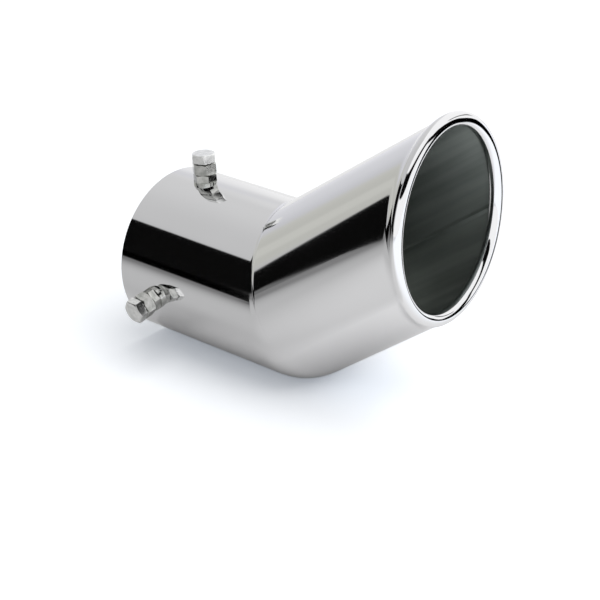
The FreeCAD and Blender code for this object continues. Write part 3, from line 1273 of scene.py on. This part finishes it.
@dataclass(frozen=True)
class MirroredWalls:
    """White walls as the polished steel mirrors them: brightest behind the tip and to its right.

    Bearings are in degrees from +Y towards +X, and heights in degrees above the horizon.
    """

    high_level: float = 0.65
    high_step: Rise = Rise(-125.0, -60.0, 0.10)
    high_rear_step: Rise = Rise(-55.0, -42.0, 0.16)
    low_level: float = 0.60
    low_step: Rise = Rise(-100.0, -66.0, 0.18)
    low_stripe: Band = Band(-113.0, -103.0, 5.0, 0.06)
    low_rear_step: Rise = Rise(-68.0, -44.0, 0.16)
    low_rear_height: Rise = Rise(26.0, 12.0)
    high_to_low: Rise = Rise(40.0, 22.0)
    corner_shade: Rise = Rise(-141.0, -142.5, 0.70)
    corner_height: Rise = Rise(6.0, 3.0)
    right_level: float = 1.12
    right_side: Band = Band(-38.0, 176.0, 8.0)
    tinted_height: Rise = Rise(32.0, 24.0)
    warm_side: Band = Band(-122.0, -88.0, 8.0)
    warm_tint: tuple[float, float, float] = (0.0, 0.0, -0.070)
    cool_side: Band = Band(-86.0, -44.0, 10.0)
    cool_tint: tuple[float, float, float] = (-0.015, -0.010, 0.030)

    def level(self, azimuth: Number, elevation: Number) -> Number:
        """How bright the walls are in a direction.

        Args:
            azimuth: The direction's bearing.
            elevation: Its height.

        Returns:
            The level.
        """
        # To the left of the tip the high part and the low part of the walls have levels of their own.
        high = self.high_step.at(azimuth) + self.high_rear_step.at(azimuth) + self.high_level
        low = self.low_rear_step.at(azimuth) * self.low_rear_height.at(elevation)
        low = low + self.low_step.at(azimuth) + self.low_level + self.low_stripe.at(azimuth)
        left = high + (low - high) * self.high_to_low.at(elevation)
        left = left * (1.0 - self.corner_shade.at(azimuth) * self.corner_height.at(elevation))
        return left + (self.right_level - left) * self.right_side.at(azimuth)

    def tint(self, azimuth: Number, elevation: Number, glossy_ray: Number) -> list[Number]:
        """Colour of the walls: a little warm at one side of the camera and cool next to it.

        Args:
            azimuth: The direction's bearing.
            elevation: Its height.
            glossy_ray: One for what the steel mirrors and nought for all else.

        Returns:
            Red, green and blue.
        """
        tinted = self.tinted_height.at(elevation) * glossy_ray
        warm = self.warm_side.at(azimuth) * tinted
        cool = self.cool_side.at(azimuth) * tinted
        return [cool * cool_part + warm * warm_part + 1.0
                for cool_part, warm_part in zip(self.cool_tint, self.warm_tint)]


@dataclass(frozen=True)
class DarkOpening:
    """Tall dark opening to the left of the camera, which makes the dark strips in the steel."""

    right_edge: SlantedEdge = SlantedEdge(0.66, -133.6, -134.8)
    left_edge: Rise = Rise(-176.0, -168.0)
    top: SlantedEdge = SlantedEdge(-0.28, -4.5, -5.5)
    near_foot: SlantedEdge = SlantedEdge(0.4, 46.8, 48.0)
    far_foot: SlantedEdge = SlantedEdge(0.475, 69.4, 70.6)
    near_to_far: Rise = Rise(-142.0, -142.4)

    def level(self, azimuth: Number, elevation: Number) -> Number:
        """How dark the opening is in a direction.

        Args:
            azimuth: The direction's bearing, in degrees.
            elevation: Its height, in degrees.

        Returns:
            One inside the opening and nought outside it.
        """
        sides = self.right_edge.within(elevation, azimuth) * self.left_edge.at(azimuth)
        near_foot = self.near_foot.within(azimuth, elevation)
        far_foot = self.far_foot.within(azimuth, elevation)
        foot = near_foot + (far_foot - near_foot) * self.near_to_far.at(azimuth)
        return sides * self.top.within(azimuth, elevation) * foot


@dataclass(frozen=True)
class DarkGap:
    """Dark gap between the walls behind the tip, which the rolled lip mirrors as a dark line."""

    climb_from: float = 40.1
    climb: float = 1.43
    level_height: float = 33.0
    level_climb: float = 0.07
    wider_above: Rise = Rise(60.0, 50.0, 7.0)
    wider_below: Rise = Rise(95.0, 110.0, 6.0)
    upper_edge: Rise = Rise(9.0, 7.0)
    lower_edge: Rise = Rise(-9.5, -7.5)
    side: Band = Band(33.0, 178.0, 3.0)
    rear_climb: float = 0.48
    rear_height: float = 10.7
    rear_edge: Rise = Rise(5.0, 3.5, 0.8)
    rear_side: Band = Band(4.0, 36.0, 2.0)

    def level(self, azimuth: Number, elevation: Number) -> Number:
        """How dark the gap is in a direction.

        Args:
            azimuth: The direction's bearing, in degrees.
            elevation: Its height, in degrees.

        Returns:
            One inside the gap and nought outside it.
        """
        # The gap climbs steeply at first and then runs almost level, and is wider at both ends.
        climbing = (azimuth - self.climb_from) * self.climb
        off_middle = elevation - climbing.least(azimuth * self.level_climb + self.level_height)
        upper = self.upper_edge.at(off_middle - self.wider_above.at(azimuth))
        lower = self.lower_edge.at(off_middle + self.wider_below.at(azimuth))

        # A paler part of it goes on behind the tip.
        off_rear = (elevation - azimuth * self.rear_climb - self.rear_height).size()
        rear = self.rear_edge.at(off_rear) * self.rear_side.at(azimuth)
        return (upper * lower * self.side.at(azimuth)).most(rear)


@dataclass
class Studio:
    """Floor, light, surroundings and camera."""

    floor_height: float = -0.0381
    floor_radius: float = 6.0
    floor_points: int = 96
    floor_roughness: float = 0.6
    floor_colour: tuple[float, float, float] = (0.90, 0.90, 0.90)
    lift_colour: tuple[float, float, float] = (0.198, 0.220, 0.252)
    # Painted pool of light on the floor under the outlet's mouth, and a painted glow on the right of the
    # floor that only the steel sees.
    painted_bounce_x: Rise = Rise(0.080, 0.110)
    painted_bounce_y: Rise = Rise(-0.035, 0.005)
    painted_right_glow: Rise = Rise(0.15, 0.28, 1.5)
    painted_floor_shading: PaintedFloorShading = PaintedFloorShading()
    mirrored_walls: MirroredWalls = MirroredWalls()
    dark_opening: DarkOpening = DarkOpening()
    dark_gap: DarkGap = DarkGap()
    dark_level: float = 0.003
    world_level: float = 0.46
    sun_strength: float = 1.85
    sun_angle: float = math.radians(64.0)
    sun_way: tuple[float, float, float] = (-0.34, -0.08, -1.0)
    camera_target: tuple[float, float, float] = (0.0813, -0.0079, -0.0008)
    camera_azimuth: float = math.radians(40.94)
    camera_elevation: float = math.radians(24.62)
    camera_distance: float = 0.7200
    camera_lens: float = 99.0
    camera_sensor: float = 36.0

    def floor_finish(self) -> bpy.types.Material:
        """Pale finish, whose shading in the steel is painted, whose shadows are lifted a little, and which
        has a painted pool of light by the outlet and a painted glow to the right.

        Returns:
            The material.
        """
        made = MaterialTree("pale_floor")
        tree = made.tree
        split = tree.nodes.new("ShaderNodeSeparateXYZ")
        tree.links.new(made.place(), split.inputs["Vector"])
        x, y = (Number(tree, split.outputs[axis]) for axis in "XY")
        path = tree.nodes.new("ShaderNodeLightPath")
        camera_ray = Number(tree, path.outputs["Is Camera Ray"])
        glossy_ray = Number(tree, path.outputs["Is Glossy Ray"])
        # Painted shading: what the steel sees of the floor is darkened by place, and the camera sees the
        # floor evenly.
        share = 1.0 - glossy_ray * (1.0 - self.painted_floor_shading.level(x, y))
        colour = made.shade(share, (0.0, 0.0, 0.0), self.floor_colour)
        made.set(Base_Color=colour, Roughness=self.floor_roughness, Specular_IOR_Level=0.0)

        # The camera's shadows are lifted a little, and more by a painted pool of light where the outlet
        # throws light back. To the right the steel sees a painted glow on the floor.
        lift = tree.nodes.new("ShaderNodeEmission")
        lift.inputs["Color"].default_value = (*self.lift_colour, 1.0)
        painted_bounce = self.painted_bounce_x.at(x) * self.painted_bounce_y.at(y)
        painted_glow = self.painted_right_glow.at(x) * share * glossy_ray
        feed(tree, lift.inputs["Strength"], camera_ray * (painted_bounce + 1.0) + painted_glow)
        both = tree.nodes.new("ShaderNodeAddShader")
        tree.links.new(made.shader.outputs["BSDF"], both.inputs[0])
        tree.links.new(lift.outputs["Emission"], both.inputs[1])
        output = next(node for node in tree.nodes if node.type == "OUTPUT_MATERIAL")
        tree.links.new(both.outputs["Shader"], output.inputs["Surface"])
        return made.material

    def floor(self) -> None:
        """Round pale floor that keeps the tip's shadow."""
        mesh = bpy.data.meshes.new("floor")
        work = bmesh.new()
        bmesh.ops.create_circle(
            work, cap_ends=True, segments=self.floor_points, radius=self.floor_radius
        )
        work.to_mesh(mesh)
        work.free()
        mesh.transform(Matrix.Translation((0.0, 0.0, self.floor_height)))
        mesh.materials.append(self.floor_finish())
        piece = bpy.data.objects.new("floor", mesh)
        bpy.context.scene.collection.objects.link(piece)

    def lamp(self) -> None:
        """One broad soft light from the right and above, which polished steel doesn't mirror."""
        light = bpy.data.lights.new("soft_light", "SUN")
        light.energy = self.sun_strength
        light.angle = self.sun_angle
        lamp = bpy.data.objects.new("soft_light", light)
        lamp.rotation_euler = Vector(self.sun_way).to_track_quat("-Z", "Y").to_euler()
        lamp.visible_glossy = False
        bpy.context.scene.collection.objects.link(lamp)

    def surroundings(self) -> None:
        """Studio walls as polished steel mirrors them, with dark gaps, and white to the camera."""
        world = bpy.data.worlds.new("studio")
        bpy.context.scene.world = world
        world.use_nodes = True
        tree = world.node_tree
        background = next(node for node in tree.nodes if node.type == "BACKGROUND")
        source = tree.nodes.new("ShaderNodeTexCoord")
        split = tree.nodes.new("ShaderNodeSeparateXYZ")
        tree.links.new(source.outputs["Generated"], split.inputs["Vector"])
        east, north, up = (Number(tree, split.outputs[axis]) for axis in "XYZ")
        azimuth = east.bearing(north)
        elevation = up.arcsine() * DEGREES

        dark = self.dark_opening.level(azimuth, elevation).most(self.dark_gap.level(azimuth, elevation))
        walls = self.mirrored_walls.level(azimuth, elevation)
        mirrored = walls * (1.0 - dark) + dark * self.dark_level

        path = tree.nodes.new("ShaderNodeLightPath")
        camera_ray = Number(tree, path.outputs["Is Camera Ray"])
        glossy_ray = Number(tree, path.outputs["Is Glossy Ray"])
        plain = (1.0 - camera_ray - glossy_ray).share()
        strength = camera_ray + glossy_ray * mirrored + plain * self.world_level
        feed(tree, background.inputs["Strength"], strength)

        tint = tree.nodes.new("ShaderNodeCombineColor")
        parts = self.mirrored_walls.tint(azimuth, elevation, glossy_ray)
        for name, part in zip(("Red", "Green", "Blue"), parts):
            feed(tree, tint.inputs[name], part)
        tree.links.new(tint.outputs["Color"], background.inputs["Color"])

    def camera(self) -> None:
        """Camera at the photograph's viewing angle."""
        data = bpy.data.cameras.new("camera")
        data.lens = self.camera_lens
        data.sensor_width = self.camera_sensor
        back = Vector((
            math.sin(self.camera_azimuth) * math.cos(self.camera_elevation),
            -math.cos(self.camera_azimuth) * math.cos(self.camera_elevation),
            math.sin(self.camera_elevation),
        ))
        camera = bpy.data.objects.new("camera", data)
        camera.location = Vector(self.camera_target) + back * self.camera_distance
        camera.rotation_euler = (-back).to_track_quat("-Z", "Y").to_euler()
        bpy.context.scene.collection.objects.link(camera)
        bpy.context.scene.camera = camera

    def build(self) -> None:
        """Set up the whole studio."""
        bpy.context.scene.view_settings.view_transform = "Standard"
        self.camera()
        self.floor()
        self.lamp()
        self.surroundings()


BOLT_PLACES = (
    BoltPlace(
        Position.TOP, angle=23.0, skew_along=-2.8, skew_round=4.9,
        head_turn=13.0, lock_turn=22.0, weld_turn=31.0,
    ),
    BoltPlace(
        Position.NEAR, angle=118.0, skew_along=-2.3, skew_round=-1.8,
        head_turn=0.0, lock_turn=52.0, weld_turn=20.0,
    ),
    BoltPlace(
        Position.FAR, angle=246.0, skew_along=0.0, skew_round=0.0,
        head_turn=4.0, lock_turn=26.0, weld_turn=12.0,
    ),
)


def main() -> None:
    """Build the studio and every piece, in order."""
    logging.basicConfig(level=logging.INFO, format="%(name)s: %(message)s")
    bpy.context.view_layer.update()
    Studio().build()
    pipes = Pipes()
    outlet_way = (pipes.sizes.lean, pipes.sizes.bend_angle, 0.0)
    plating = ZincPlate("zinc_plate").material()
    head_plating = ZincPlate("head_plate", dark=(0.66, 0.67, 0.66), light=(0.94, 0.94, 0.93)).material()
    sleeve_steel = MirrorSteel("sleeve_steel").material()
    outlet_steel = MirrorSteel("outlet_steel", line_depth=0.0000022, turn=outlet_way).material()
    pieces = pipes.build({
        "polished_sleeve": (sleeve_steel, DullBore("sleeve_bore").material()),
        "polished_outlet": (outlet_steel, DullBore("outlet_bore", turn=outlet_way).material()),
    })
    for place in BOLT_PLACES:
        pieces += ClampStack(place).build(plating, head_plating)
    for piece in pieces:
        LOG.info("%s: %d faces", piece.name, len(piece.data.polygons))


if __name__ == "__main__":
    main()
